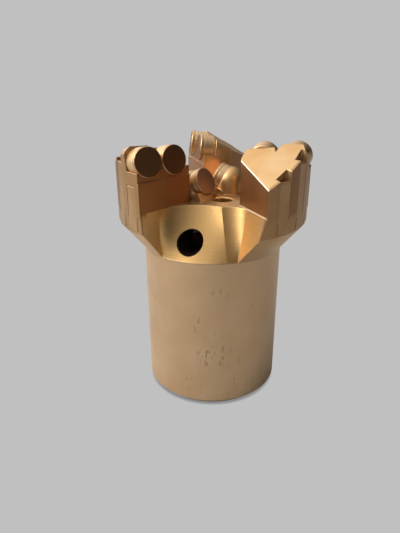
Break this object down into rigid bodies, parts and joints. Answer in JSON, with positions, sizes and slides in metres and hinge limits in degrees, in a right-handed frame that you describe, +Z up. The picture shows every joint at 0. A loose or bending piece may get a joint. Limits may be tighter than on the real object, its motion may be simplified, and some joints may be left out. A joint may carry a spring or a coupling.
{
  "type": "drill bit",
  "caption": "Concave winged drag bit: a hollow threaded shank below upright wings that carry diamond-faced cutters, with water holes in the hub and slots.",
  "frame": {"origin": "centre of the thread mouth, at the foot of the shank", "axes": "+Z up the bit axis to the cutting end; the first wing's leading face lies in the XZ plane on the +X side and looks towards +Y"},
  "size_m": [0.0935, 0.0878, 0.1296],
  "materials": {
    "painted_steel": "satin gold-bronze paint",
    "cutter": "dark face under a thin coat of the same paint",
    "carbide_strip": "sintered bar under the same paint"
  },
  "bodies": {
    "root": {"body": "painted_steel", "cutter_inner_1": "cutter", "cutter_outer_1": "cutter", "cutter_inner_2": "cutter", "cutter_outer_2": "cutter", "cutter_inner_3": "cutter", "cutter_outer_3": "cutter", "cutter_small_2": "cutter", "cutter_small_3": "cutter", "strip_1_1": "carbide_strip", "strip_1_2": "carbide_strip", "strip_1_3": "carbide_strip", "strip_2_1": "carbide_strip", "strip_2_2": "carbide_strip", "strip_2_3": "carbide_strip", "strip_3_1": "carbide_strip", "strip_3_2": "carbide_strip", "strip_3_3": "carbide_strip"}
  },
  "joints": []
}
